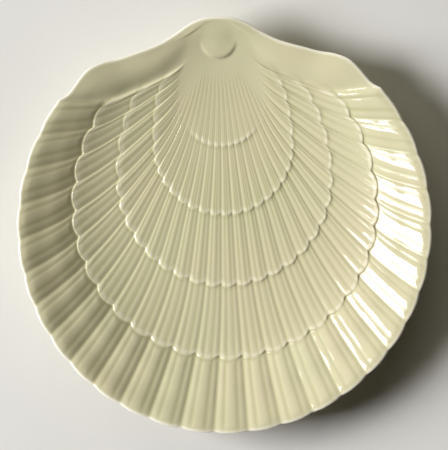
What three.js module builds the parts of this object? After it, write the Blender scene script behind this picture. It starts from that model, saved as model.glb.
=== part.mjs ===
// Scallop shell salad plate: a moulded earthenware dish of five overlapping tiers of ribbed lobes,
// and the foot ring luted to its back. Millimetres, +Z up, +Y towards the hinge of the shell,
// with the origin on the table under the middle of the plate.
import * as THREE from 'three';

// Dish
const plateRadius = 105.4; // rim circle, over the crowns of the lobes
const lipHeight = 25.5; // table to the lip
const lipThickness = 4;
const lipEdgeDrop = 1.6; // roundest point of the edge, below the lip
const lipUndercut = 1.4; // how far in the back starts
const lipRoll = 2.5; // how far the rim has levelled off at the lip
const rollWidth = 7.4; // band in which it levels off
const floorThickness = 4.2;
const bowlPower = 4; // flat floor and steep rim

// Foot ring
const footRadius = 54;
const footHeight = 4;
const footWidth = 5.5;
const footDraft = 0.7; // each side leans in by this much
const footRounding = 0.9;
const lutingGap = 0.3; // slip joint between ring and dish
const seatMargin = 2; // flat back outside the ring

// Boss at the hinge, proud on the side of the dish and flush on the side of the beak
const bossRadius = 9.3;
const bossInset = 11.7; // its centre, in from the beak
const bossRise = 2.2;
const bossCrown = 0.8;
const bossFlush = 0.2; // where its edge runs out, above its middle as a share of its radius

// Flanks of the hinge, where the outline draws in and the dish comes up sooner to keep the lip level
const flankAngle = 159.5; // degrees from the foot of the axis
const flankSpread = 9; // degrees to either side
const flankDraw = 8; // in from the rim circle
const flankFade = 8; // how closely the draw keeps to the lip

// Lobes: one on the axis and the rest in pairs, each with a wide rib between two narrow ones
const lobesPerSide = 13;
const innerGroove = 0.25; // share of a lobe's width from each side
const lobeFullness = 2.8; // flatness of a lobe's crown, 2 being a plain arc
const flankWidth = 0.125; // share of the last lobe that drops to the wing
const lastNotch = 0.5; // share of the last lobe over which its notch runs out to the wing
const wingBend = 2.9; // how soon the wing stops following the last lobe
const wingSpread = 0.8; // how soon its rays leave the boss
const ribFade = 10; // ribs die away over this distance to the lip
const smoothUntil = 0.2; // share of the first tier that is smooth below the boss
const ribbedFrom = 0.42;
const tierBead = 0.05; // share of a tier's width that is the bead along its edge
const beadRise = 0.35; // crown of the bead and fall to its outer side, as shares of the step
const beadDrop = 0.35;

// Edges of the boss, the four inner tiers and the rim. Each edge is an arc about a centre on the
// axis, below the hinge by drop, which stretches above its widest point until it meets the wing at
// wingAngle. Lobes stand at axisPitch on the axis and at wingPitch by the wing. All are in mm and degrees.
const hingeY = plateRadius - bossInset;
const tiers = [
  { radius: bossRadius, drop: 0, stretch: 0, axisPitch: 8.2, wingPitch: 8, wingAngle: 110, notch: 0 },
  { radius: 22, drop: 31.7, stretch: 18, axisPitch: 9, wingPitch: 7, wingAngle: 120, notch: 0.4 },
  { radius: 36, drop: 52.7, stretch: 30, axisPitch: 9, wingPitch: 5.5, wingAngle: 121.5, notch: 1.2 },
  { radius: 55.2, drop: 69.7, stretch: 18.8, axisPitch: 8, wingPitch: 8.5, wingAngle: 129, notch: 1.8 },
  { radius: 78, drop: 83.7, stretch: 6, axisPitch: 8.7, wingPitch: 10.5, wingAngle: 131.5, notch: 2 },
  { radius: plateRadius, drop: hingeY, stretch: 0, axisPitch: 9.6, wingPitch: 11, wingAngle: 129, notch: 0.8 },
];
const rim = tiers.length - 1;

// Relief of each tier: step down to the next one, crown of a lobe over its grooves, crown of a rib
const relief = [
  { step: 0, crown: 0, rib: 0 },
  { step: 0.5, crown: 0.16, rib: 0.03 },
  { step: 0.6, crown: 0.4, rib: 0.12 },
  { step: 0.7, crown: 0.42, rib: 0.2 },
  { step: 0.8, crown: 0.45, rib: 0.18 },
  { step: 0, crown: 0.8, rib: 0.2 },
];

// Top of the outline from the wing to the beak: angle from the axis, and how far inside the rim circle
const shoulders = new THREE.SplineCurve([
  new THREE.Vector2(tiers[rim].wingAngle, 0),
  new THREE.Vector2(132.5, 1.8),
  new THREE.Vector2(140, 0.3),
  new THREE.Vector2(145, 2.2),
  new THREE.Vector2(150, 5.5),
  new THREE.Vector2(flankAngle, 7.9),
  new THREE.Vector2(166, 6.3),
  new THREE.Vector2(172, 2.2),
  new THREE.Vector2(176, 0.3),
  new THREE.Vector2(180, 0),
]);

// Where the surface is sampled
const ribShares = [0, innerGroove / 2, innerGroove, 0.5, 1 - innerGroove, 1 - innerGroove / 2];
const plainShares = [0, 0.5];
const wingSteps = 10;
const outlineSteps = 80; // finer, to measure from
const bossRings = [0.55, 1];
const beadRows = [1 - tierBead, 1 - tierBead / 2, 1];
const firstTierRows = [0.06, smoothUntil, ribbedFrom, 0.7, ...beadRows];
const tierRows = [0.03, 0.4, ...beadRows];
const rimRows = [0.03, 0.25, 0.5, 0.72, 0.88, 0.95];
const backRows = [0.12, 0.35, 0.65, 1];
const footSegments = 72;
const roundingSegments = 3;

const { lerp, degToRad, radToDeg, smoothstep } = THREE.MathUtils;

const halfLobes = lobesPerSide + 0.5;
const wingEnd = halfLobes + 1;
const seatHeight = footHeight + lutingGap;
const seatRadius = footRadius + seatMargin;
const floorTop = seatHeight + floorThickness;
const bowlRise = lipHeight + lipRoll - floorTop;
const backRise = (lipHeight + lipRoll - lipThickness - seatHeight) / (bowlRise - bowl(polar(0, seatRadius)));

// Rise of the dish at a plan point: a bowl that comes up to the lip at the rim circle, or sooner at a flank
function bowl(plan) {
  const angle = radToDeg(Math.atan2(Math.abs(plan.x), -plan.y));
  const flank = Math.exp(-(((angle - flankAngle) / flankSpread) ** 2));
  const reach = plateRadius - flankDraw * flank * (plan.length() / plateRadius) ** flankFade;
  return bowlRise * (plan.length() / reach) ** bowlPower;
}

// Point at a distance from a centre on the axis, by the angle from the foot of the axis
function polar(degrees, across, down = across, centreY = 0) {
  const angle = degToRad(degrees);
  return new THREE.Vector2(across * Math.sin(angle), centreY - down * Math.cos(angle));
}

// One value of the tier edges as a smooth curve over the tiers
const layout = {};
for (const key of Object.keys(tiers[0])) {
  layout[key] = new THREE.SplineCurve(tiers.map((tier, i) => new THREE.Vector2(i, tier[key])));
}

function tierValue(key, t) {
  return layout[key].getPoint(t / rim).y;
}

// Place across a lobe, from 0 at one groove to 1 at the next
function acrossLobe(lobe) {
  return lobe + 0.5 - Math.floor(lobe + 0.5);
}

// Plan of the ribbed fan: lobe counts from the axis to the wing, t from the boss to the rim
function fanPoint(lobe, t) {
  const share = lobe / halfLobes;
  const degrees =
    tierValue('axisPitch', t) * lobe * (1 - share) ** 2 +
    tierValue('wingAngle', t) * share ** 2 * (3 - 2 * share) -
    tierValue('wingPitch', t) * lobe * share * (1 - share);
  const notch = tierValue('notch', t) * smoothstep(halfLobes - lobe, 0, lastNotch);
  const radius = tierValue('radius', t) - notch * (2 * acrossLobe(lobe) - 1) ** 2;
  const stretch = degrees > 90 ? tierValue('stretch', t) : 0;
  return polar(degrees, radius, radius + stretch, hingeY - tierValue('drop', t));
}

// Straight line from the boss to the top of the outline
function wingRay(wing, t) {
  const boss = polar(lerp(tiers[0].wingAngle, 180, wing), bossRadius, bossRadius, hingeY);
  const edge = shoulders.getPoint(wing);
  return boss.lerp(polar(edge.x, plateRadius - edge.y), (t / rim) ** wingSpread);
}

// Plan of the smooth wing: its rays bend to follow the last lobe on one side, and are straight at the beak
function wingPoint(wing, t) {
  const bend = fanPoint(halfLobes, t).sub(wingRay(0, t));
  return wingRay(wing, t).addScaledVector(bend, (1 - wing) ** wingBend);
}

// Plan at a station round the shell: lobes first, then the wing as far as the beak
function planPoint(station, t) {
  const along = Math.abs(station);
  const point = along <= halfLobes ? fanPoint(along, t) : wingPoint(along - halfLobes, t);
  point.x *= Math.sign(station);
  return point;
}

// Distance from a plan point to the lip
const outline = stationsRound(ribShares, outlineSteps).map((station) => planPoint(station, rim));
function toLip(plan) {
  return Math.min(...outline.map((edge) => edge.distanceTo(plan)));
}

// How far the rim has levelled off at a distance from the lip
function roll(distance) {
  return lipRoll * Math.max(0, 1 - distance / rollWidth) ** 2;
}

// Height of the lobes, ribs and overlapping tiers over the smooth dish
function tierRelief(lobe, tier, share, distance) {
  const across = acrossLobe(lobe);
  const side = Math.min(across, 1 - across);
  const inRib = side < innerGroove ? side / innerGroove : (across - innerGroove) / (1 - 2 * innerGroove);
  const toEdge = Math.min(1, distance / ribFade);
  const ribbed = tier === 1 ? smoothstep(share, smoothUntil, ribbedFrom) : 1;
  const crown = relief[tier].crown * (1 + toEdge) / 2 * (1 - Math.abs(2 * across - 1) ** lobeFullness);
  const inBead = tier < rim ? Math.max(0, (share - 1 + tierBead) / tierBead) : 0;
  const rib = relief[tier].rib * toEdge * (1 - inBead) * 4 * inRib * (1 - inRib);
  const overlap = Math.min(1, share / (1 - tierBead)) ** 2;
  const bead = beadRise * 4 * inBead * (1 - inBead) - beadDrop * inBead ** 4;
  const flank = Math.min(1, (halfLobes - lobe) / flankWidth);
  return ribbed * (crown + rib) + flank * relief[tier].step * (overlap + bead);
}

// Point on the face of the dish, by its station, its tier and its share of that tier
function facePoint(station, tier, share) {
  const t = tier - 1 + share;
  const plan = planPoint(station, t);
  const distance = toLip(plan);
  const lobe = Math.abs(station);
  const raised = lobe <= halfLobes ? tierRelief(lobe, tier, share, distance) : 0;
  return new THREE.Vector3(plan.x, plan.y, floorTop + bowl(plan) - roll(distance) + raised);
}

// Point on the boss, by its share of the boss's radius
function bossPoint(station, share) {
  const plan = planPoint(station, 0).sub({ x: 0, y: hingeY }).multiplyScalar(share);
  const proud = Math.max(0, bossFlush - plan.y / bossRadius) / (bossFlush + 1);
  plan.y += hingeY;
  const raised = bossRise * proud + bossCrown * (1 - share ** 2);
  return new THREE.Vector3(plan.x, plan.y, floorTop + bowl(plan) - roll(toLip(plan)) + raised);
}

// Point of the rounded lip, below its top and in from its edge
function lipPoint(station, drop, inset) {
  const point = facePoint(station, rim, 1);
  const inward = 1 - inset / Math.hypot(point.x, point.y);
  return new THREE.Vector3(point.x * inward, point.y * inward, point.z - drop);
}

// Point on the smooth back, from the lip to the flat seat of the foot ring
function backPoint(station, share) {
  const edge = lipPoint(station, lipThickness, lipUndercut);
  const plan = new THREE.Vector2(edge.x, edge.y);
  const distance = share * (plan.length() - seatRadius);
  plan.setLength(plan.length() - distance);
  const rise = backRise * (bowl(plan) - bowl(plan.clone().setLength(seatRadius)));
  return new THREE.Vector3(plan.x, plan.y, seatHeight + rise - roll(distance));
}

// Stations right round the shell, starting at the beak, with some in every lobe
function stationsRound(lobeShares, steps) {
  const stations = [halfLobes];
  for (let lobe = -lobesPerSide; lobe <= lobesPerSide; lobe++) {
    stations.push(...lobeShares.map((share) => lobe - 0.5 + share));
  }
  for (let i = 1; i <= steps; i++) stations.push(-halfLobes - i / steps);
  for (let i = 1; i < steps; i++) stations.push(halfLobes + i / steps);
  return stations.sort((a, b) => a - b);
}

// The dish as one skin of rings: from the boss over the face to the lip, and back to its middle underneath
function makeDish() {
  const positions = [];
  const triangles = [];
  const ribbed = stationsRound(ribShares, wingSteps);
  const plain = stationsRound(plainShares, wingSteps);

  const addPoint = (point) => positions.push(...point.toArray()) / 3 - 1;
  const addRing = (stations, place) =>
    stations.map((station) => ({ station, index: addPoint(place(station)) }));

  const at = (ring, i) => ring[i % ring.length].index;
  const reach = (ring, i) => ring[i % ring.length].station + 2 * wingEnd * Math.floor(i / ring.length);
  const joinRings = (inner, outer) => {
    let i = 0;
    let j = 0;
    while (i < inner.length || j < outer.length) {
      if (j === outer.length || (i < inner.length && reach(inner, i + 1) < reach(outer, j + 1))) {
        triangles.push(at(inner, i), at(outer, j), at(inner, i + 1));
        i++;
      } else {
        triangles.push(at(inner, i), at(outer, j), at(outer, j + 1));
        j++;
      }
    }
  };

  const rings = bossRings.map((share) => addRing(plain, (s) => bossPoint(s, share)));
  for (const share of firstTierRows) rings.push(addRing(plain, (s) => facePoint(s, 1, share)));
  for (let tier = 2; tier < rim; tier++) {
    for (const share of tierRows) rings.push(addRing(ribbed, (s) => facePoint(s, tier, share)));
  }
  for (const share of rimRows) rings.push(addRing(ribbed, (s) => facePoint(s, rim, share)));
  rings.push(addRing(ribbed, (s) => lipPoint(s, lipEdgeDrop, 0)));
  rings.push(addRing(ribbed, (s) => lipPoint(s, lipThickness, lipUndercut)));
  for (const share of backRows) rings.push(addRing(plain, (s) => backPoint(s, share)));
  for (let i = 1; i < rings.length; i++) joinRings(rings[i - 1], rings[i]);

  const top = addPoint(bossPoint(0, 0));
  const under = addPoint(new THREE.Vector3(0, 0, seatHeight));
  const first = rings[0];
  const last = rings.at(-1);
  for (let i = 0; i < first.length; i++) triangles.push(top, at(first, i), at(first, i + 1));
  for (let i = 0; i < last.length; i++) triangles.push(at(last, i), under, at(last, i + 1));

  const geometry = new THREE.BufferGeometry();
  geometry.setAttribute('position', new THREE.Float32BufferAttribute(positions, 3));
  geometry.setIndex(triangles);
  geometry.computeVertexNormals();
  return geometry;
}

// The foot ring: a band with leaning sides and rounded lower edges, turned about Z
function makeFootRing() {
  const outer = footRadius;
  const inner = footRadius - footWidth;
  const section = new THREE.Path();
  section.moveTo(inner, footHeight);
  section.lineTo(inner + footDraft, footRounding);
  section.quadraticCurveTo(inner + footDraft, 0, inner + footDraft + footRounding, 0);
  section.lineTo(outer - footDraft - footRounding, 0);
  section.quadraticCurveTo(outer - footDraft, 0, outer - footDraft, footRounding);
  section.lineTo(outer, footHeight);
  section.lineTo(inner, footHeight);
  return new THREE.LatheGeometry(section.getPoints(roundingSegments), footSegments).rotateX(Math.PI / 2);
}

function addPiece(name, geometry, finish) {
  const mesh = new THREE.Mesh(geometry, new THREE.MeshStandardMaterial(finish));
  mesh.name = name;
  plate.add(mesh);
}

const plate = new THREE.Group();
addPiece('shell_dish', makeDish(), { color: '#cdc9a4', roughness: 0.15, metalness: 0 });
addPiece('foot_ring', makeFootRing(), { color: '#d8d0bd', roughness: 0.85, metalness: 0 });

export default plate;
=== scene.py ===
import math
import bpy
import numpy as np
from mathutils import Euler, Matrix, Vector


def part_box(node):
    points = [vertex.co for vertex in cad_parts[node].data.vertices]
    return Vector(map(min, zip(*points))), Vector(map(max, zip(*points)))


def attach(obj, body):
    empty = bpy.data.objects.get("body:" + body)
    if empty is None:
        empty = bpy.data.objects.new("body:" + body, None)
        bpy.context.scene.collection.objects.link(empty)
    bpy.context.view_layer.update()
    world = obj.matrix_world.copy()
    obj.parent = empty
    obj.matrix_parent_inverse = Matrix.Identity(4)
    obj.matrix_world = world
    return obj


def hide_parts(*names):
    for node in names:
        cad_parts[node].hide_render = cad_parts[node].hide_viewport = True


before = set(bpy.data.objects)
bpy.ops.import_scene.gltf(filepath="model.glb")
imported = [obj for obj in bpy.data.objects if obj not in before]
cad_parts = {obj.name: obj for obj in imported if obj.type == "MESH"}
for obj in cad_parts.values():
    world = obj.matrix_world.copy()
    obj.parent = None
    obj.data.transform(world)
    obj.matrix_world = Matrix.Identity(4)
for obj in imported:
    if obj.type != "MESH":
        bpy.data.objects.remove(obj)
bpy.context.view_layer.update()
mm = 0.001  # the plate is worked out in millimetres, the scene is in metres
boxGap = 0.05  # mm that the lip stays inside the solid's box
dishLow, dishHigh = [np.array(corner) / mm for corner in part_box("shell_dish")]
ringHigh = np.array(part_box("foot_ring")[1]) / mm
plateRadius = dishHigh[1] - boxGap
bossRadius, bossInset = 9.3, 11.7  # the boss, and its centre in from the edge of the plate
print("frame loaded, dish", np.round(dishHigh - dishLow, 2), "mm")

# the shell dish, in mm; tier lists run boss, edges of tiers 1 to 4, rim, and a place
# between two of them is a tier with a fraction
dish = {
    "plateRadius": plateRadius,     # circle over the crowns of the rim lobes
    "seatHeight": dishLow[2],       # flat of the back that stands on the foot ring
    "seatRadius": ringHigh[0] + 2,
    "seatRings": [0.7, 0.35],       # rings on the flat, as shares of its radius
    "floorThickness": 3.3,
    "bowlPower": 3.6,
    "lipHeight": 25.6,
    "lipThickness": 4.0,
    "lipRounding": 0.9,             # fall of the rounded lip, and how far in it starts
    "lipShoulder": 1.5,
    "lipUndercut": 1.4,
    "lipRoll": 1.4,                 # how far the rim levels off at the lip, and over what width
    "rollWidth": 9,
    "backEase": 6,                  # power with which the back leaves the lip's waves
    "flankAngle": 159.5,            # where the outline dips between shoulder and beak
    "flankSpread": 9,
    "flankDraw": 8,
    "flankFade": 8,
    # boss at the hinge
    "bossRadius": bossRadius,
    "bossInset": bossInset,
    "bossRise": 1.0,
    "bossCrown": 0.5,
    "bossFlush": (0.12, 1.12),      # height on the boss where it is flush, and its fade
    "bossWall": (1.35, 0.4),        # the wall of the boss, inside and outside its edge
    "bossMoat": (0.1, 1.4, 0.9),    # hollow round it: depth, distance, width
    # plan of the fan and the wings, angles in degrees from the front
    "lobesPerSide": 13,
    "radius": [bossRadius, 22, 36, 55.2, 78, plateRadius],
    "drop": [0, 31.7, 52.7, 69.7, 83.7, plateRadius - bossInset],   # of the centre below the hinge
    "stretch": [0, 18, 30, 18.8, 6, 0],         # of the part above the centre
    "axisPitch": [8.2, 9, 9, 8.15, 8.85, 9.6],  # width of a lobe on the axis and by the wing
    "wingPitch": [8, 7, 5.5, 8.5, 10.5, 11],
    "wingAngle": [110, 120, 121.5, 129, 131.5, 129],
    "rimSwerve": (0.8, 9.5, 2.5),   # the rim's rays bend to the axis: angle, lobe, spread
    "notch": [0, 0.4, 1.2, 1.8, 2.0, 0.8],
    "lastNotch": 0.5,               # the notch runs out over this share of the last lobe
    # outline from the fan over shoulder and flank to the beak: angle, distance inside the circle
    "shoulders": [(129, 0), (132.5, 1.8), (140, 0.3), (145, 2.2), (150, 5.5),
                  (159.5, 7.9), (166, 6.3), (172, 2.2), (176, 0.3), (180, 0)],
    "wingBend": 2.9,
    "wingSpread": 0.8,
    # crowns and ribs, heights as shares of a lobe's width
    "crown": [0, 0.034, 0.044, 0.041, 0.027, 0.052],
    "crownPower": [2, 2, 2.3, 1.6, 4, 2.4],     # a high power is flat-topped, steep at the grooves
    "rib": [0, 0.01, 0.0175, 0.0275, 0.022, 0.032],
    "ribPower": [2, 2, 2.4, 1.6, 1.6, 3.6],
    "sideRib": [1, 1, 1.2, 0.89, 1.05, 0.7],    # height of the two side ribs to the middle one
    "innerGroove": [0.33, 0.33, 0.4, 0.32, 0.315, 0.275],   # width of a side rib
    "sideRelief": (3, 9, 1.5),      # tiers are cut deeper towards the wings: two lobes, share
    "ribFade": 4,                   # ribs run out this near the lip
    "smoothUntil": 0.2,             # tiers where the fan is still smooth below the boss
    "ribbedFrom": 0.42,
    "flankLate": (0.5, 5, 6),       # smooth longer towards the wings: tiers, lobe, over lobes
    # softer beside the first tier edge: share, lobe and its spread, tier and its spread
    "firstSoft": (0.4, 4, 1.6, 1.05, 0.4),
    "rimCrown": (1.7, 0.75, 0.6),   # the rim's crowns flatten to the lip: two shares, power
    "rimRibs": (-0.5, 4),           # its ribs start here outside the last tier, and over this
    "rimLift": (1.35, 30),          # it starts steeper: rise, at this width of the rim
    "liftReach": (0.5, 0.42),       # where that starts, and over what share of the rim
    # tier edges
    "step": [0, 0.3, 0.36, 0.42, 0.64, 0],      # height of a tier at its edge
    "edgeIn": 0.6,                  # fall of a tier edge, inside and outside its line
    "edgeOut": 0.8,
    "beadRise": [0, 0.19, 0.12, 0.16, 0.18],    # raised bead along a tier edge
    "beadDip": [0, 0.1, 0.4, 0.4, 0.4],         # what is left of it at the grooves
    "beadPlace": 1.0,
    "beadWidth": 1.15,
    "beadStart": (0.15, 0.6),       # share of its tier where a bead starts, and over how much
    "beadCover": 0.85,              # how far it hides the ribs
    "firstStart": (0.55, 0.35),     # tier where the first edge starts, and over how much
    "firstEdge": (3.5, 6.5, 0.12),  # it fades between two lobes to a share
    "sideEdge": (6, 11, 0.6),       # and the others a little
    "flankSoft": 1.8,               # tier edges fall slower along the wings
    "tierCorner": 5,                # rounding where a tier edge turns along the wing
    # the wings stand up from the fan
    "fanEdge": 2,                   # width over which the fan ends
    "wingStart": (0.5, 1.5),        # tier where they start, and over how much
    "wingFill": (1.7, 9, 14),       # rise, over this width, and gone over this at the lip
    "wingValley": (0.35, 2.4, 12),  # valley before them: depth, width, gone over this at the lip
    "valleyPlace": 1.5,
    # glaze: how it softens the relief, and its depth: + darker for pooled glaze and painted shade, -
    # paler for thin glaze and the lip's painted highlight
    "glazeFill": 11,                # lobes narrower than this are filled most
    "glazePasses": 4,
    "edgePoolAndShade": (0.7, 1.0, 0.7),    # pooled glaze and painted shade outside a tier edge: depth, distance, width
    "poolBead": -0.9,
    "lipThinAndHighlight": (-2.2, 1.3),         # thin glaze and a painted highlight along the lip: depth, width
    "groovePoolAndShade": (1.1, 0.06),      # pooled glaze and painted shade between lobes: depth, share of the width
    "innerPoolAndShade": (1.2, 0.05),       # pooled glaze and painted shade between ribs
    "paintedShadeMiddle": (0.6, 1.8, 0.7),  # painted shade: the grooves darker in the middle of the fan: share, tier, spread
    # grid
    "columnsPerLobe": 20,
    "wingColumns": 36,
    "tierRows": 24,
    "rimRows": 32,
    "rowCluster": 0.85,
    "bossRows": 11,
    "lipRows": 6,
    "backRows": 12,
    "outlinePoints": 1200,
}

halfLobes = dish["lobesPerSide"] + 0.5
hinge = np.array([0, dish["plateRadius"] - dish["bossInset"]])
floorTop = dish["seatHeight"] + dish["floorThickness"]
bowlRise = dish["lipHeight"] + dish["lipRoll"] - floorTop
rimTier = len(dish["radius"]) - 1


def smoothStep(x, start=0, width=1):  # 3x^2 - 2x^3 from 0 at the start to 1 after the width
    x = np.clip((x - start) / width, 0, 1)
    return x * x * (3 - 2 * x)


def bump(x, place=0, width=1):  # bell exp(-x^2) about a place
    x = (x - place) / width
    return np.exp(-x * x)


def mixed(a, b, share):
    return a + (b - a) * share


def along(values, t):
    # smooth curve through values at t = 0, 1, 2...: a cubic between neighbours
    # whose slope at each value is half the difference of the two beside it
    values = np.asarray(values, float)
    first = np.clip(np.floor(t).astype(int), 0, len(values) - 2)
    s = t - first
    a, b = values[np.maximum(first - 1, 0)], values[first]
    c, d = values[first + 1], values[np.minimum(first + 2, len(values) - 1)]
    return b + 0.5 * s * (c - a + s * (2 * a - 5 * b + 4 * c - d + s * (3 * (b - c) + d - a)))


def polar(degrees, radius):  # plan point at an angle turned from -Y towards +X
    turn = np.radians(degrees)
    return np.stack([radius * np.sin(turn), -radius * np.cos(turn)], -1)


def acrossLobe(station):  # 0 and 1 in the grooves, 0.5 on the crown of a lobe
    return (np.abs(station) + 0.5) % 1


def fanPlan(lobe, t):
    # rays of the fan: the angle grows by the axis pitch near the axis and eases into
    # the wing angle, the radius is notched in the grooves, and the centre of the
    # fan drops from the hinge to the plate's centre as t goes from boss to rim; over
    # the rim the rays bend by out(1 - out)^2, whose top is 4/27
    q = lobe / halfLobes
    degrees = (along(dish["axisPitch"], t) * lobe * (1 - q) ** 2
               + along(dish["wingAngle"], t) * q * q * (3 - 2 * q)
               - along(dish["wingPitch"], t) * lobe * q * (1 - q))
    swerve, lobeMost, spread = dish["rimSwerve"]
    out = np.clip(t - rimTier + 1, 0, 1)
    degrees = degrees - swerve * 27 / 4 * out * (1 - out) ** 2 * bump(lobe, lobeMost, spread)
    notch = along(dish["notch"], t) * smoothStep(halfLobes - lobe, 0, dish["lastNotch"])
    radius = along(dish["radius"], t) - notch * (2 * acrossLobe(lobe) - 1) ** 2
    turn = np.radians(degrees)
    upper = np.where(degrees > 90, along(dish["stretch"], t), 0)
    return np.stack([radius * np.sin(turn),
                     hinge[1] - along(dish["drop"], t) - (radius + upper) * np.cos(turn)], -1)


def wingRay(wing, t):
    # straight line from the boss to the outline of shoulder, flank and beak
    start = hinge + polar(mixed(dish["wingAngle"][0], 180, wing), dish["bossRadius"])
    knots = np.array(dish["shoulders"])
    place = wing * (len(knots) - 1)
    end = polar(along(knots[:, 0], place), dish["plateRadius"] - along(knots[:, 1], place))
    return mixed(start, end, ((t / rimTier) ** dish["wingSpread"])[..., None])


def shellPlan(station, t):
    # fan for the lobes; the wings bend from the last groove to the beak's straight line
    station, t = np.broadcast_arrays(np.asarray(station, float), np.asarray(t, float))
    lobe = np.minimum(np.abs(station), halfLobes)
    wing = np.clip(np.abs(station) - halfLobes, 0, 1)
    lastGroove = np.full_like(lobe, halfLobes)
    bend = fanPlan(lastGroove, t) - wingRay(np.zeros_like(wing), t)
    wings = wingRay(wing, t) + bend * ((1 - wing) ** dish["wingBend"])[..., None]
    plan = np.where((wing > 0)[..., None], wings, fanPlan(lobe, t))
    plan[..., 0] *= np.sign(station)
    return plan


def planAngle(plan):  # degrees from the front, on either side
    return np.degrees(np.arctan2(np.abs(plan[..., 0]), -plan[..., 1]))


def toLip(plan):  # radial distance to the outline
    fine = np.linspace(0, halfLobes + 1, dish["outlinePoints"])
    outline = shellPlan(fine, np.full_like(fine, rimTier))
    reach = np.interp(planAngle(plan), planAngle(outline), np.hypot(*outline.T))
    return np.maximum(reach - np.hypot(plan[..., 0], plan[..., 1]), 0)


def bowl(plan):
    # rise with a power of the radius, quicker along the drawn-in flanks
    radius = np.hypot(plan[..., 0], plan[..., 1])
    flank = bump(planAngle(plan), dish["flankAngle"], dish["flankSpread"])
    share = radius / dish["plateRadius"]
    reach = dish["plateRadius"] - dish["flankDraw"] * flank * share ** dish["flankFade"]
    return bowlRise * (radius / reach) ** dish["bowlPower"]


def lipRoll(distance):  # square of the way in from where the rim starts to level off
    return dish["lipRoll"] * np.maximum(0, 1 - distance / dish["rollWidth"]) ** 2


def lipCorner(distance):  # quarter ellipse down to the side of the lip
    out = np.clip(1 - distance / dish["lipShoulder"], 0, 1)
    return dish["lipRounding"] * (1 - np.sqrt(1 - out * out))


def bossRelief(plan):
    # dome that is proud on its lower side, with a hollow round it, and runs flush into the beak
    away = plan - hinge
    distance = np.hypot(away[..., 0], away[..., 1])
    beyond = distance - dish["bossRadius"]
    up = away[..., 1] / np.maximum(distance, dish["bossRadius"])  # -1 below, 1 at the beak
    flush, fade = dish["bossFlush"]
    proud = smoothStep(flush - up, 0, fade)
    wall = 1 - smoothStep(beyond, -dish["bossWall"][0], sum(dish["bossWall"]))
    dome = dish["bossCrown"] * np.maximum(0, 1 - (distance / dish["bossRadius"]) ** 2) ** 2
    depth, place, width = dish["bossMoat"]
    return dish["bossRise"] * proud * wall + dome - depth * proud * bump(beyond, place, width)


def ridge(x, power):  # arch over x = 0 to 1, rounder for a low power, flatter for a high one
    return 1 - np.abs(2 * x - 1) ** power


def roundedMax(a, b, radius):
    # the larger of two distances, with the corner where both are near 0 rounded off
    a, b = a + radius, b + radius
    return np.hypot(np.maximum(a, 0), np.maximum(b, 0)) + np.minimum(np.maximum(a, b), 0) - radius


def sideFade(station, first, last, share):  # 1 on the axis, easing to a share between two lobes
    return mixed(1, share, smoothStep(np.abs(station), first, last - first))


def lobeArch(tier, station, lobeWidth):
    # across a lobe of one tier: the height of its crown, an arch from groove to groove, that
    # of its three ribs, an arch each, and a bell on each of the two grooves between the ribs,
    # which darkens them with pooled glaze and painted shade
    across = acrossLobe(station)
    side = np.minimum(across, 1 - across)
    groove, power = dish["innerGroove"][tier], dish["ribPower"][tier]
    ribs = np.where(side < groove, dish["sideRib"][tier] * ridge(side / groove, power),
                    ridge((across - groove) / (1 - 2 * groove), power))
    crown = dish["crown"][tier] * ridge(across, dish["crownPower"][tier])
    depth = lobeWidth * (1 if tier == rimTier else sideFade(station, *dish["sideRelief"]))
    inner = bump(side, groove, dish["innerPoolAndShade"][1])
    return np.stack([crown * depth, dish["rib"][tier] * ribs * depth,
                     np.broadcast_to(inner, depth.shape)])


def rimArch(station, rim, lobeWidth, distance):
    # the rim's crowns flatten with a power of the way out, its ribs start after the last
    # tier, and both run out at the lip, the crowns to a half
    first, last, power = dish["rimCrown"]
    depth = mixed(first, last, (rim / rim[-1]) ** power)
    fade = np.minimum(1, distance / dish["ribFade"])
    ribs = depth * smoothStep(rim, *dish["rimRibs"]) * fade
    return lobeArch(rimTier, station, lobeWidth) * np.stack([depth * (1 + fade) / 2, ribs, fade])


def rimLift(rim):  # a rise outside the last tier that falls in a straight line to the lip
    rise, width = dish["rimLift"]
    start, reach = dish["liftReach"]
    lift = rise * (rim[-1] / width) ** 2 * (1 - rim / rim[-1])
    return lift * smoothStep(rim, start, reach * rim[-1])


def ribbedFan(station, t):  # 0 where the fan is smooth below the boss, 1 where it is ribbed
    tiers, lobe, lobes = dish["flankLate"]
    late = tiers * smoothStep(np.abs(station), lobe, lobes)
    return smoothStep(t, dish["smoothUntil"] + late, dish["ribbedFrom"] - dish["smoothUntil"] + late)


def wingForm(t, flankGap, distance):
    # step up across the edge of the fan, with a bell-shaped valley before it
    rise, width, lipFade = dish["wingFill"]
    wings = rise * smoothStep(-flankGap, 0, width) * smoothStep(distance, 0, lipFade)
    depth, width, lipFade = dish["wingValley"]
    valley = depth * bump(flankGap, -dish["valleyPlace"], width) * smoothStep(distance, 0, lipFade)
    return (wings - valley) * smoothStep(t, *dish["wingStart"])


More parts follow.
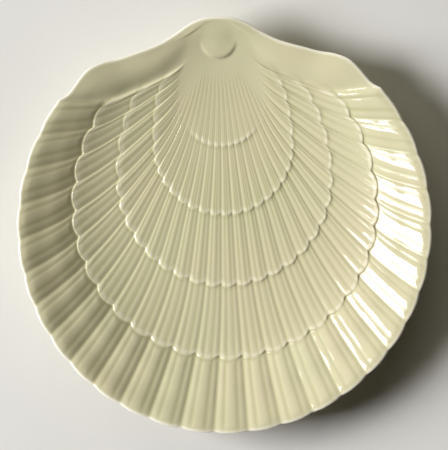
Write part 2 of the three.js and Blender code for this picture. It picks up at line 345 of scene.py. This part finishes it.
def lobeForm(station, t, length, square, lobeWidth, flankGap, edgeRows, distance):
    # crowns and three ribs across each lobe, their heights passing from tier to tier
    # at the edges; each tier rises to its edge with the square of its share, ends in
    # a bead and falls to the next; returns the height and the glaze depth, with painted shade outside
    # the edges and in the grooves
    across = acrossLobe(station)
    side = np.minimum(across, 1 - across)
    rim = np.maximum(length - length[edgeRows[rimTier - 1]], 0)
    arch = rimArch(station, rim, lobeWidth, distance)
    layers, beads, plain, poolAndPaintedLight = 0, 0, 1, 0
    for tier in range(rimTier - 1, 0, -1):
        front = (length - length[edgeRows[tier]]) * square[edgeRows[tier]]
        beyond = roundedMax(front, -flankGap / dish["flankSoft"], dish["tierCorner"])
        inside = 1 - smoothStep(beyond, -dish["edgeIn"], dish["edgeIn"] + dish["edgeOut"])
        share = np.clip(t - tier + 1, 0, 1)
        weight = smoothStep(share, *dish["beadStart"])
        edge = sideFade(station, *dish["sideEdge"]) if tier < rimTier - 1 else 1
        if tier == 1:
            edge = weight = smoothStep(t, *dish["firstStart"]) * sideFade(station, *dish["firstEdge"])
        bead = bump(beyond, -dish["beadPlace"], dish["beadWidth"]) * weight
        scallop = mixed(dish["beadDip"][tier], 1, ridge(across, 2))
        arch = mixed(arch, lobeArch(tier, station, lobeWidth), inside)
        layers = layers + dish["step"][tier] * share ** 2 * inside * edge
        beads = beads + dish["beadRise"][tier] * edge * bead * inside * scallop
        plain = plain * (1 - dish["beadCover"] * bead)
        # pooled glaze with painted shade outside each tier edge, and thin glaze on its bead
        depth, place, width = dish["edgePoolAndShade"]
        poolAndPaintedLight = poolAndPaintedLight + depth * bump(beyond, place, width) * weight + dish["poolBead"] * bead
    crown, ribs, inner = arch
    ribbed = ribbedFan(station, t)
    onFan = smoothStep(flankGap, 0, dish["fanEdge"])
    share, lobe, lobes, tier, tiers = dish["firstSoft"]
    softer = 1 - share * bump(np.abs(station), lobe, lobes) * bump(t, tier, tiers)
    height = (crown + ribs * plain) * ribbed * softer * (flankGap > 0)
    height = height + layers + beads + rimLift(rim) * onFan + wingForm(t, flankGap, distance)
    # darker grooves: pooled glaze and painted shade
    depth, width = dish["groovePoolAndShade"]
    grooves = (depth * bump(side, 0, width) + dish["innerPoolAndShade"][0] * inner) * ribbed
    # painted shade: the grooves darker still in the middle tiers of the fan
    share, tier, tiers = dish["paintedShadeMiddle"]
    return height, poolAndPaintedLight + grooves * (1 + share * bump(t, tier, tiers)) * onFan


def soften(height, lobeWidth):
    # running 1 : 2 : 1 means round the shell, as glaze fills a groove; stronger on narrow lobes
    share = 1 / (1 + (lobeWidth / dish["glazeFill"]) ** 2)
    for turn in range(dish["glazePasses"]):
        mean = (np.roll(height, 1, 1) + 2 * height + np.roll(height, -1, 1)) / 4
        height = mixed(height, mean, share)
    return height


def crossed(a, b):  # area of the parallelogram on two plan vectors
    return a[..., 0] * b[..., 1] - a[..., 1] * b[..., 0]


def travelled(plan, axis):  # length along each line of the grid, from its start
    start = np.take(plan, [0], axis)
    return np.cumsum(np.linalg.norm(np.diff(plan, axis=axis, prepend=start), axis=-1), axis=axis)


def clustered(count):  # shares from 0 to 1, closer together at both ends by a sine
    x = np.arange(1, count + 1) / count
    return x - dish["rowCluster"] * np.sin(2 * np.pi * x) / (2 * np.pi)


def shellStations():  # from the beak round the left wing, the lobes and the right wing
    lobes = np.linspace(-halfLobes, halfLobes, int(2 * halfLobes * dish["columnsPerLobe"]) + 1)
    wing = halfLobes + np.arange(1, dish["wingColumns"] + 1) / dish["wingColumns"]
    return np.concatenate([-wing[::-1], lobes, wing[:-1]])


def shellFace():
    # inner face over (row, station): the boss, then five tiers to the lip; the bowl with the
    # boss and the softened relief on it; returns the face, the top of the lip and the glaze
    # depth with its painted shade and the lip's painted highlight
    station = shellStations()[None, :]
    bossShare = np.sin(np.linspace(0, np.pi / 2, dish["bossRows"] + 1)[1:])[:, None, None]
    counts = [dish["tierRows"]] * (rimTier - 1) + [dish["rimRows"]]
    t = np.concatenate([tier + clustered(count) for tier, count in enumerate(counts)])[:, None]
    edgeRows = dish["bossRows"] - 1 + np.cumsum([0] + counts)
    bossEdge = shellPlan(station, np.zeros((1, 1)))
    plan = np.concatenate([hinge + bossShare * (bossEdge - hinge), shellPlan(station, t)])
    t = np.concatenate([np.zeros((dish["bossRows"], 1)), t])
    length, width = travelled(plan, 0), travelled(plan, 1)
    outRay, roundRow = np.gradient(plan, axis=0), np.gradient(plan, axis=1)
    outRay = outRay / np.linalg.norm(outRay, axis=-1, keepdims=True)
    square = np.abs(crossed(outRay, roundRow)) / np.linalg.norm(roundRow, axis=-1)
    left, right = [dish["wingColumns"]], [width.shape[1] - dish["wingColumns"]]
    flankGap = np.minimum((width - width[:, left]) * square[:, left],
                          (width[:, right] - width) * square[:, right])
    distance = toLip(plan)
    column, half = np.arange(width.shape[1]), dish["columnsPerLobe"] // 2
    oneLobe = np.take(plan, column + half, 1, mode="clip") - np.take(plan, column - half, 1, mode="clip")
    lobeWidth = np.abs(crossed(outRay, oneLobe))
    form, poolAndPaintedLight = lobeForm(station, t, length, square, lobeWidth, flankGap, edgeRows, distance)
    base = floorTop + bowl(plan) - lipRoll(distance) + bossRelief(plan)
    height = base + soften(form, lobeWidth)
    # thin glaze and a painted highlight along the lip
    depth, width = dish["lipThinAndHighlight"]
    poolAndPaintedLight = poolAndPaintedLight + depth * bump(distance, 0, width)
    face = np.concatenate([plan, (height - lipCorner(distance))[..., None]], -1)
    return face, height[-1], poolAndPaintedLight


def lipSide(edge, outward, lipTop, turn):
    # quarter ellipse from the rounded edge to the underside
    inset = dish["lipUndercut"] * (1 - np.cos(turn))
    under = dish["lipRounding"] + (dish["lipThickness"] - dish["lipRounding"]) * np.sin(turn)
    return np.concatenate([edge - inset[..., None] * outward, (lipTop - under)[..., None]], -1)


def shellBack(start, outward):
    # the bowl's curve from the lip to the seat, which takes up the lip's waves with a power
    # of the way left, then flat rings to the middle
    startRadius = np.linalg.norm(start[:, :2], axis=-1)
    share = (np.arange(1, dish["backRows"] + 1) / dish["backRows"])[:, None]
    radius = mixed(startRadius, dish["seatRadius"], share)
    plan = radius[..., None] * outward
    seatBowl = bowl(dish["seatRadius"] * outward)
    backTop = dish["lipHeight"] + dish["lipRoll"] - dish["lipThickness"] - dish["seatHeight"]
    backRise = backTop / (bowlRise - seatBowl)
    curve = dish["seatHeight"] + backRise * (bowl(plan) - seatBowl) - lipRoll(startRadius - radius)
    atLip = dish["seatHeight"] + backRise * (bowl(start[:, :2]) - seatBowl) - dish["lipRoll"]
    curve = curve + (start[:, 2] - atLip) * (1 - share) ** dish["backEase"]
    back = np.concatenate([plan, curve[..., None]], -1)
    flat = np.array(dish["seatRings"])[:, None, None] * back[-1:]
    flat[..., 2] = dish["seatHeight"]
    return np.concatenate([back, flat])


def shellRows():
    # one closed surface of rings round the plate: face, lip and back, with a pole at
    # either end; the glaze depth, with its painted shade and highlight, runs out round the lip
    face, lipTop, poolAndPaintedLight = shellFace()
    edge = face[-1, :, :2]
    outward = edge / np.linalg.norm(edge, axis=-1, keepdims=True)
    turn = np.linspace(0, np.pi / 2, dish["lipRows"] + 1)[1:, None]
    lip = lipSide(edge, outward, lipTop, turn)
    back = shellBack(lip[-1], outward)
    depth = np.concatenate([poolAndPaintedLight, poolAndPaintedLight[-1] * np.cos(turn), np.zeros(back.shape[:2])])
    top = np.append(hinge, floorTop + bowl(hinge) - lipRoll(toLip(hinge)) + bossRelief(hinge))
    return np.concatenate([face, lip, back]), depth, [top, [0, 0, dish["seatHeight"]]]


def addMesh(name, points, faces):  # a new object at the origin, from points in mm
    mesh = bpy.data.meshes.new(name)
    mesh.from_pydata((points * mm).tolist(), [], faces)
    piece = bpy.data.objects.new(name, mesh)
    bpy.context.scene.collection.objects.link(piece)
    return piece


def ringQuads(index):  # quads between neighbouring rings of point numbers, closed round
    beside = np.roll(index, -1, 1)
    quads = np.stack([index[:-1], index[1:], beside[1:], beside[:-1]], -1)
    return quads.reshape(-1, 4).tolist()


def ringMesh(name, rows, poles=None):
    # smooth surface through rings; a pole at either end closes it with triangles, and
    # without poles the last ring joins the first, as on a torus
    count, around = rows.shape[:2]
    index = np.arange(count * around).reshape(count, around)
    points = rows.reshape(-1, 3)
    if poles is None:
        faces = ringQuads(np.concatenate([index, index[:1]]))
    else:
        beside = np.roll(index, -1, 1)
        pole = np.full(around, count * around)
        faces = ringQuads(index)
        faces += np.stack([pole, index[0], beside[0]], -1).tolist()
        faces += np.stack([index[-1], pole + 1, beside[-1]], -1).tolist()
        points = np.concatenate([points, poles])
    piece = addMesh(name, points, faces)
    piece.data.polygons.foreach_set("use_smooth", np.ones(len(faces), bool))
    piece.data.update()
    return piece


def makeDish():
    rows, depth, poles = shellRows()
    piece = ringMesh("shellDish", rows, poles)
    glazeDepthAndPaintedLight = piece.data.attributes.new("glazeDepthAndPaintedLight", "FLOAT", "POINT")
    glazeDepthAndPaintedLight.data.foreach_set("value", np.append(depth.ravel(), [0, 0]).astype(np.float32))
    return piece


# the foot ring, luted under the dish, in mm
foot = {
    "outer": ringHigh[0],
    "height": ringHigh[2],
    "width": 5.5,
    "draft": 0.7,
    "rounding": 0.9,
    "roundSteps": 7,
    "treadSteps": 4,
    "fillet": 1.1,          # slip smoothed into the corner under the dish
    "filletSteps": 6,
    "filletSunk": 0.03,     # how far it reaches into the dish
    "wobble": 0.04,         # unevenness by hand: amount, waves round the ring, where they start
    "wobbleWaves": 3,
    "wobbleStart": 0.6,
    "wobbleHeight": 2,      # it grows from none at the tread to full at this height
    "around": 288,
}


def arc(centre, radius, start, end, count):  # points of a circle between two angles
    turn = np.radians(np.linspace(start, end, count))
    return np.stack([centre[0] + radius * np.cos(turn), centre[1] + radius * np.sin(turn)], -1)


def makeFoot():
    # one closed section (radius, height) carried round the axis; its sides are drafted,
    # its treads rounded, and fillets carry both sides out under the dish
    r, f = foot["rounding"], foot["fillet"]
    inner, outer = foot["outer"] - foot["width"], foot["outer"]
    innerTread, outerTread = inner + foot["draft"] + r, outer - foot["draft"] - r
    tread = np.linspace(innerTread, outerTread, foot["treadSteps"] + 2)[1:-1]
    raised = [0, dish["seatHeight"] + foot["filletSunk"] - foot["height"]]
    section = np.concatenate([
        arc((inner - f, foot["height"] - f), f, 90, 0, foot["filletSteps"]) + raised,
        arc((innerTread, r), r, 180, 270, foot["roundSteps"]),
        np.stack([tread, 0 * tread], -1),
        arc((outerTread, r), r, 270, 360, foot["roundSteps"]),
        arc((outer + f, foot["height"] - f), f, 180, 90, foot["filletSteps"]) + raised,
    ])
    turn = np.linspace(0, 2 * np.pi, foot["around"], endpoint=False)[None, :]
    radius, height = section[:, 0, None], section[:, 1, None]
    waves = np.sin(foot["wobbleWaves"] * turn + foot["wobbleStart"])
    radius = radius + foot["wobble"] * waves * smoothStep(height, 0, foot["wobbleHeight"])
    rows = np.stack([radius * np.cos(turn), radius * np.sin(turn), height + 0 * turn], -1)
    return ringMesh("footRing", rows)


# shader helpers
def addNode(tree, kind, sockets=None, **settings):
    made = tree.nodes.new(kind)
    for key, value in settings.items():
        setattr(made, key, value)
    for key, value in (sockets or {}).items():
        if isinstance(value, bpy.types.NodeSocket):
            tree.links.new(value, made.inputs[key])
        else:
            made.inputs[key].default_value = value
    return made


def noise(tree, coords, scale, detail=3.0, rough=0.5):
    sockets = {"Vector": coords, "Scale": scale, "Detail": detail, "Roughness": rough}
    return addNode(tree, "ShaderNodeTexNoise", sockets).outputs[0]


def remap(tree, value, low, high, toLow=0.0, toHigh=1.0):
    sockets = {0: value, 1: low, 2: high, 3: toLow, 4: toHigh}
    return addNode(tree, "ShaderNodeMapRange", sockets).outputs[0]


def calc(tree, operation, a, b):
    return addNode(tree, "ShaderNodeMath", {0: a, 1: b}, operation=operation).outputs[0]


def blendColour(tree, share, a, b):
    return addNode(tree, "ShaderNodeMix", {0: share, 6: a, 7: b}, data_type="RGBA").outputs[2]


def bumpFrom(tree, shader, height, strength, distance):  # distance in metres
    sockets = {"Strength": strength, "Distance": distance, "Height": height}
    tree.links.new(addNode(tree, "ShaderNodeBump", sockets).outputs[0], shader.inputs["Normal"])


def makeGroup(name, inputs, outputs):
    group = bpy.data.node_groups.new(name, "ShaderNodeTree")
    for label, kind, value in inputs:
        socket = group.interface.new_socket(label, in_out="INPUT", socket_type=kind)
        if value is not None:
            socket.default_value = value
    for label, kind in outputs:
        group.interface.new_socket(label, in_out="OUTPUT", socket_type=kind)
    return group, group.nodes.new("NodeGroupInput").outputs, group.nodes.new("NodeGroupOutput").inputs


# kiln colour shared by glaze and clay: detail and roughness of each noise, and spans of its level
firing = {
    "cloud": (4.0, 0.55),
    "cloudSpan": (0.32, 0.68),
    "speck": (2.0, 0.6),
    "speckLevel": 0.8,      # a speck share of 1 lowers the level by the reach
    "speckReach": 0.3,
    "speckFade": 0.06,
    "ripple": (2.0, 0.5),
    "rippleSpan": (0.3, 0.7),
}


def firedGroup():  # broad clouds, small specks and a fine ripple
    group, given, out = makeGroup(
        "firedSurface",
        [("Place", "NodeSocketVector", None), ("Cloud Scale", "NodeSocketFloat", 22.0),
         ("Speck Scale", "NodeSocketFloat", 900.0), ("Speck Share", "NodeSocketFloat", 0.3),
         ("Ripple Scale", "NodeSocketFloat", 160.0)],
        [("Cloud", "NodeSocketFloat"), ("Speck", "NodeSocketFloat"), ("Ripple", "NodeSocketFloat")])
    link = group.links.new
    cloud = noise(group, given["Place"], given["Cloud Scale"], *firing["cloud"])
    link(remap(group, cloud, *firing["cloudSpan"]), out["Cloud"])
    speck = noise(group, given["Place"], given["Speck Scale"], *firing["speck"])
    lowered = calc(group, "MULTIPLY", given["Speck Share"], firing["speckReach"])
    edge = calc(group, "SUBTRACT", firing["speckLevel"], lowered)
    link(remap(group, speck, edge, calc(group, "ADD", edge, firing["speckFade"])), out["Speck"])
    link(noise(group, given["Place"], given["Ripple Scale"], *firing["ripple"]), out["Ripple"])
    return group


# glossy celadon glaze over a pale body; spans are of the glaze depth, which also carries painted shade
# and a painted highlight
glaze = {
    "thin": (0.85, 0.81, 0.63, 1),
    "body": (0.66, 0.645, 0.42, 1),
    # colour of pooled glaze and painted shade, and of the specks
    "deepAndShaded": (0.48, 0.47, 0.25, 1),
    # near-white along the lip: thin glaze and a painted highlight
    "edge": (0.95, 0.92, 0.8, 1),
    "warm": (0.70, 0.635, 0.43, 1),
    "deepAndShadeSpan": (0.0, 1.8),
    "thinSpan": (-0.1, -1.3),
    "thinMost": 0.9,
    "thinLipAndHighlightSpan": (-1.2, -2.1),
    "speckShare": 0.25,
    "roughness": (0.035, 0.08),
    "beadRough": 0.55,      # thin glaze on the beads is less glossy, but not on the lip
    "beadSpan": (-0.2, -0.7),
    "lipSpan": (-1.5, -1.0),
    "grooveRough": 0.25,    # and so is that in the grooves
    "grooveSpan": (0.15, 0.9),
    "ripple": (0.06, 0.0004),       # strength and distance of the bump
    "refraction": 1.5,
}
# unglazed stoneware of the foot, in mm
clay = {
    "pale": (0.62, 0.54, 0.42, 1),
    "toasted": (0.50, 0.36, 0.23, 1),
    "speck": (0.23, 0.15, 0.09, 1),
    "fired": {"Cloud Scale": 60.0, "Speck Share": 0.75, "Ripple Scale": 700.0},
    "roughness": (0.7, 0.92),
    "glazeLine": 1.5,       # above the table, where the glaze was wiped off
    "lineFade": 0.25,
    "lineWander": 0.8,
    "glazeGloss": 0.62,     # roughness that the glaze takes away
    "rings": {"Scale": 380.0, "Distortion": 1.5, "Detail": 2.0},    # marks of the grinding
    "ringShare": 0.4,
    "grain": (0.5, 0.0003),         # strength and distance of the bump
}


def newMaterial(name):
    material = bpy.data.materials.new(name)
    material.use_nodes = True
    tree = material.node_tree
    place = addNode(tree, "ShaderNodeTexCoord").outputs["Object"]
    return material, tree, tree.nodes["Principled BSDF"], place


def fired(tree, group, place, values):
    made = addNode(tree, "ShaderNodeGroup", node_tree=group)
    tree.links.new(place, made.inputs["Place"])
    for label, value in values.items():
        made.inputs[label].default_value = value
    return made.outputs


def glazeColour(tree, surface, depth):
    base = blendColour(tree, surface["Cloud"], glaze["body"], glaze["warm"])
    # painted shade and pooled glaze darken the colour where the depth is positive
    pooledAndShaded = blendColour(tree, remap(tree, depth, *glaze["deepAndShadeSpan"]), base, glaze["deepAndShaded"])
    thinness = remap(tree, depth, *glaze["thinSpan"], 0.0, glaze["thinMost"])
    thinned = blendColour(tree, thinness, pooledAndShaded, glaze["thin"])
    # painted highlight and thin glaze: near-white along the lip
    thinAndHighlighted = blendColour(tree, remap(tree, depth, *glaze["thinLipAndHighlightSpan"]), thinned, glaze["edge"])
    specks = calc(tree, "MULTIPLY", surface["Speck"], glaze["speckShare"])
    return blendColour(tree, specks, thinAndHighlighted, glaze["deepAndShaded"])


def glazeRoughness(tree, surface, depth):
    rough = remap(tree, surface["Ripple"], *firing["rippleSpan"], *glaze["roughness"])
    onBead = calc(tree, "MINIMUM", remap(tree, depth, *glaze["beadSpan"]),
                  remap(tree, depth, *glaze["lipSpan"]))
    inGroove = remap(tree, depth, *glaze["grooveSpan"])
    for mask, amount in ((onBead, glaze["beadRough"]), (inGroove, glaze["grooveRough"])):
        rough = calc(tree, "ADD", rough, calc(tree, "MULTIPLY", mask, amount))
    return rough


def glazeMaterial(group):
    material, tree, shader, place = newMaterial("celadonGlaze")
    surface = fired(tree, group, place, {})
    depth = addNode(tree, "ShaderNodeAttribute", attribute_name="glazeDepthAndPaintedLight").outputs["Fac"]
    tree.links.new(glazeColour(tree, surface, depth), shader.inputs["Base Color"])
    tree.links.new(glazeRoughness(tree, surface, depth), shader.inputs["Roughness"])
    bumpFrom(tree, shader, surface["Ripple"], *glaze["ripple"])
    shader.inputs["IOR"].default_value = glaze["refraction"]
    return material


def clayMaterial(group):
    material, tree, shader, place = newMaterial("bareClayFoot")
    surface = fired(tree, group, place, clay["fired"])
    bare = blendColour(tree, surface["Cloud"], clay["pale"], clay["toasted"])
    bare = blendColour(tree, surface["Speck"], bare, clay["speck"])
    up = addNode(tree, "ShaderNodeSeparateXYZ", {0: place}).outputs[2]
    aside = calc(tree, "SUBTRACT", surface["Cloud"], 0.5)
    wander = calc(tree, "MULTIPLY", aside, clay["lineWander"] * mm)
    line = clay["glazeLine"] * mm
    glazed = remap(tree, calc(tree, "ADD", up, wander), line, line + clay["lineFade"] * mm)
    colour = blendColour(tree, glazed, bare, glaze["body"])
    tree.links.new(colour, shader.inputs["Base Color"])
    rough = remap(tree, surface["Ripple"], *firing["rippleSpan"], *clay["roughness"])
    rough = calc(tree, "SUBTRACT", rough, calc(tree, "MULTIPLY", glazed, clay["glazeGloss"]))
    tree.links.new(rough, shader.inputs["Roughness"])
    rings = addNode(tree, "ShaderNodeTexWave", {"Vector": place, **clay["rings"]},
                    wave_type="RINGS", rings_direction="Z").outputs["Fac"]
    grain = calc(tree, "ADD", surface["Ripple"], calc(tree, "MULTIPLY", rings, clay["ringShare"]))
    ground = calc(tree, "MULTIPLY", grain, calc(tree, "SUBTRACT", 1.0, glazed))
    bumpFrom(tree, shader, ground, *clay["grain"])
    return material


# table, light and camera, in metres
studio = {
    "tableReach": (0.05, 6.0),      # radius of its first and last ring
    "tableRings": 12,
    "tableAround": 96,
    "tablePale": (0.78, 0.77, 0.75, 1),
    "tableShade": (0.72, 0.71, 0.69, 1),
    "tableTone": (7.0, 4.0),        # scale and detail of its shades, and of its grain
    "tableGrain": (900.0, 2.0),
    "toneSpan": (0.3, 0.7),
    "tableRough": (0.75, 0.9),
    "grainBump": (0.05, 0.0003),
    "skyColour": (1, 0.93, 0.6, 1),
    "skyGlow": 0.012,
    # soft boxes: radiance, heading in degrees from +X towards +Y, rise, distance, width, height
    "window": (17.5, 177, 34.5, 3.0, 1.5, 1.6),
    "fill": (0.73, 100, 45, 3.5, 4.0, 3.0),
    "fillColour": (1, 0.94, 0.74),
    "widthSeen": 0.2261,            # at the level of the rim
    "rimLevel": 0.024,
    "cameraHeight": 3.0,
    "turns": (1.0, 5.5, -2.0),      # degrees about X, Y, Z: it looks down a little from the right
    "sensor": 36,
    "farthest": 50,
}


def makeTable():
    # disc on polar rings that grow outward, as one flat surface
    turn = np.linspace(0, 2 * np.pi, studio["tableAround"], endpoint=False)[None, :]
    radius = np.geomspace(*studio["tableReach"], studio["tableRings"])[:, None]
    rows = np.stack([radius * np.cos(turn), radius * np.sin(turn), 0 * radius * turn], -1) / mm
    index = np.arange(radius.size * turn.size).reshape(radius.size, turn.size)
    table = addMesh("paleTable", rows.reshape(-1, 3), ringQuads(index) + [index[0].tolist()])
    material, tree, shader, place = newMaterial("paleTableTop")
    tone = remap(tree, noise(tree, place, *studio["tableTone"]), *studio["toneSpan"])
    colour = blendColour(tree, tone, studio["tablePale"], studio["tableShade"])
    tree.links.new(colour, shader.inputs["Base Color"])
    tree.links.new(remap(tree, tone, 0, 1, *studio["tableRough"]), shader.inputs["Roughness"])
    bumpFrom(tree, shader, noise(tree, place, *studio["tableGrain"]), *studio["grainBump"])
    table.data.materials.append(material)


def makeLight():
    # each soft box faces the plate's middle; its power is pi times radiance times area
    world = bpy.data.worlds.new("softRoom")
    bpy.context.scene.world = world
    world.use_nodes = True
    sky = world.node_tree.nodes["Background"].inputs
    sky["Color"].default_value = studio["skyColour"]
    sky["Strength"].default_value = studio["skyGlow"]
    for name in ("window", "fill"):
        glow, heading, rise, away, wide, tall = studio[name]
        lamp = bpy.data.lights.new(name, "AREA")
        lamp.shape = "RECTANGLE"
        lamp.size, lamp.size_y = wide, tall
        lamp.energy = math.pi * glow * wide * tall
        if name == "fill":
            lamp.color = studio["fillColour"]
        heading, rise = math.radians(heading), math.radians(rise)
        level = math.cos(rise)
        place = Vector((math.cos(heading) * level, math.sin(heading) * level, math.sin(rise)))
        box = bpy.data.objects.new(name, lamp)
        box.location = place * away
        box.rotation_euler = place.to_track_quat("Z", "Y").to_euler()
        bpy.context.scene.collection.objects.link(box)


def makeCamera():
    # turned about the middle of the plate at the level of the rim
    away = studio["cameraHeight"] - studio["rimLevel"]
    lens = bpy.data.cameras.new("overhead")
    lens.sensor_fit, lens.sensor_width = "HORIZONTAL", studio["sensor"]
    lens.lens = studio["sensor"] * away / studio["widthSeen"]
    lens.clip_end = studio["farthest"]
    camera = bpy.data.objects.new("overhead", lens)
    turns = Euler([math.radians(turn) for turn in studio["turns"]])
    camera.rotation_euler = turns
    camera.location = Vector((0, 0, studio["rimLevel"])) + turns.to_matrix() @ Vector((0, 0, away))
    bpy.context.scene.collection.objects.link(camera)
    bpy.context.scene.camera = camera


makeCamera()
makeLight()
makeTable()
bpy.context.scene.view_settings.view_transform = "Standard"
print("table, light and camera placed")

firedSurface = firedGroup()
shellDish = makeDish()
shellDish.data.materials.append(glazeMaterial(firedSurface))
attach(shellDish, "root")
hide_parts("shell_dish")
print("shell dish:", len(shellDish.data.polygons), "faces")

footRing = makeFoot()
footRing.data.materials.append(clayMaterial(firedSurface))
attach(footRing, "root")
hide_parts("foot_ring")
print("foot ring:", len(footRing.data.polygons), "faces")

print("plate finished")
